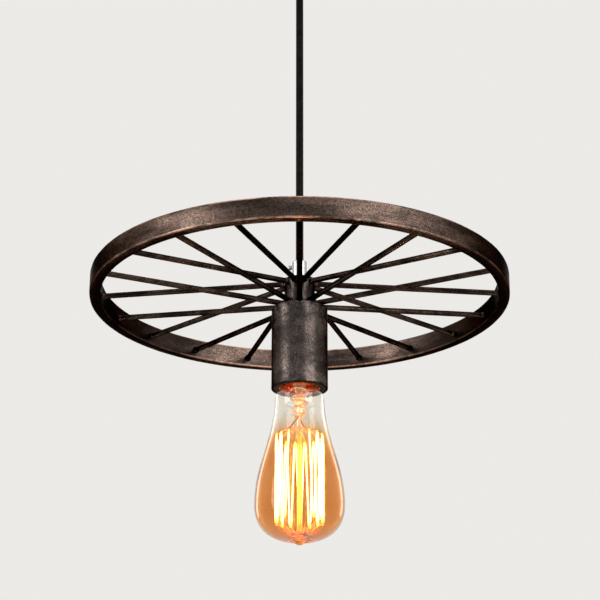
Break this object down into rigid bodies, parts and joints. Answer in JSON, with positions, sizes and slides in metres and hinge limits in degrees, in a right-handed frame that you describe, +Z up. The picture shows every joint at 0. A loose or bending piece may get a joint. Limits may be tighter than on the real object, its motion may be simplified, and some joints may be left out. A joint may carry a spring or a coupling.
{
  "type": "wheel pendant lamp",
  "caption": "Spoked iron wheel hung flat on a single cable, with a lampholder cup and a long Edison-style bulb under its hub.",
  "frame": {"origin": "middle of the ceiling bracket's top face, where it meets the ceiling", "axes": "+Z up out of the ceiling; the lamp hangs to -Z; +X along the bracket's strap; -Y towards the picture's camera"},
  "size_m": [0.3, 0.3, 0.491],
  "materials": {
    "iron": "mottled antique bronze, worn to copper at the edges",
    "cup_iron": "mottled dark gunmetal bronze",
    "chrome": "bright",
    "zinc": "zinc plated",
    "brass": "satin",
    "bakelite": "black, semi-gloss",
    "block_plastic": "matt",
    "insert_ceramic": "matt",
    "cable_black": "glossy",
    "core_brown": "satin",
    "core_blue": "satin",
    "core_green_yellow": "satin",
    "amber_glass": "clear amber",
    "stem_glass": "clear",
    "black_glass": "glossy",
    "wire": "bright",
    "filament": "glowing",
    "solder": "satin"
  },
  "bodies": {
    "ceiling": {"ceiling_bracket": "zinc"},
    "left_screw": {"canopy_screw_left": "zinc"},
    "right_screw": {"canopy_screw_right": "zinc"},
    "canopy": {"canopy": "iron", "terminal_block": "block_plastic", "terminal_sleeves": "brass", "terminal_screws": "zinc", "supply_core_live": "core_brown", "supply_core_neutral": "core_blue", "supply_core_earth": "core_green_yellow"},
    "canopy_grip": {"canopy_grip": "chrome", "canopy_grip_nut": "zinc", "canopy_cable_end": "cable_black"},
    "canopy_clamp": {"canopy_grip_screw": "chrome"},
    "cable": {"cable": "cable_black"},
    "lamp": {"lamp_grip": "chrome", "lamp_cable_end": "cable_black", "hub": "iron", "rim": "iron", "spoke_01": "iron", "spoke_02": "iron", "spoke_03": "iron", "spoke_04": "iron", "spoke_05": "iron", "spoke_06": "iron", "spoke_07": "iron", "spoke_08": "iron", "spoke_09": "iron", "spoke_10": "iron", "spoke_11": "iron", "spoke_12": "iron", "spoke_13": "iron", "spoke_14": "iron", "spoke_15": "iron", "spoke_16": "iron", "spoke_17": "iron", "spoke_18": "iron", "spoke_19": "iron", "spoke_20": "iron", "socket_cup": "cup_iron", "nipple": "brass", "cup_nut": "zinc", "lampholder_cap": "bakelite", "lampholder_insert": "insert_ceramic", "lampholder_skirt": "bakelite", "lampholder_shell": "brass", "lampholder_contact": "brass", "lampholder_screws": "zinc", "lamp_core_live": "core_brown", "lamp_core_neutral": "core_blue", "lamp_core_earth": "core_green_yellow"},
    "lamp_clamp": {"lamp_grip_screw": "chrome"},
    "bulb_tip": {"bulb_insulator": "black_glass", "bulb_contact": "solder"},
    "bulb": {"bulb_cap": "brass", "bulb_glass": "amber_glass", "bulb_stem": "stem_glass", "bulb_leads": "wire", "bulb_supports": "wire", "bulb_filament": "filament"}
  },
  "joints": [
    {"name": "canopy_drop", "type": "slide", "parent": "ceiling", "child": "canopy", "axis": [0, 0, 1], "range_m": [-0.045, 0]},
    {"name": "left_screw_turn", "type": "hinge", "parent": "ceiling", "child": "left_screw", "pos_m": [-0.05, 0, -0.008], "axis": [-1, 0, 0], "range_deg": [0, 1080]},
    {"name": "right_screw_turn", "type": "hinge", "parent": "ceiling", "child": "right_screw", "pos_m": [0.05, 0, -0.008], "axis": [1, 0, 0], "range_deg": [0, 1080]},
    {"name": "pendant_turn", "type": "hinge", "parent": "canopy", "child": "canopy_grip", "pos_m": [0, 0, -0.026], "axis": [0, 0, 1], "range_deg": [-175, 175]},
    {"name": "canopy_clamp_turn", "type": "hinge", "parent": "canopy_grip", "child": "canopy_clamp", "pos_m": [0.006, 0, -0.0357], "axis": [1, 0, 0], "range_deg": [0, 720]},
    {"name": "cable_swing", "type": "hinge", "parent": "canopy_grip", "child": "cable", "pos_m": [0, 0, -0.0397], "axis": [0, 1, 0], "range_deg": [-20, 20]},
    {"name": "lamp_tilt", "type": "hinge", "parent": "cable", "child": "lamp", "pos_m": [0, 0, -0.2827], "axis": [1, 0, 0], "range_deg": [-20, 20]},
    {"name": "lamp_clamp_turn", "type": "hinge", "parent": "lamp", "child": "lamp_clamp", "pos_m": [-0.006, 0, -0.2867], "axis": [-1, 0, 0], "range_deg": [0, 720]},
    {"name": "bulb_travel", "type": "slide", "parent": "lamp", "child": "bulb_tip", "axis": [0, 0, 1], "range_m": [-0.0182, 0]},
    {"name": "bulb_turn", "type": "hinge", "parent": "bulb_tip", "child": "bulb", "pos_m": [0, 0, -0.37], "axis": [0, 0, 1], "range_deg": [-1800, 0]}
  ],
  "couplings": [
    {"joint": "bulb_travel", "follows": "bulb_turn", "m_per_rad": 0.00057757}
  ]
}
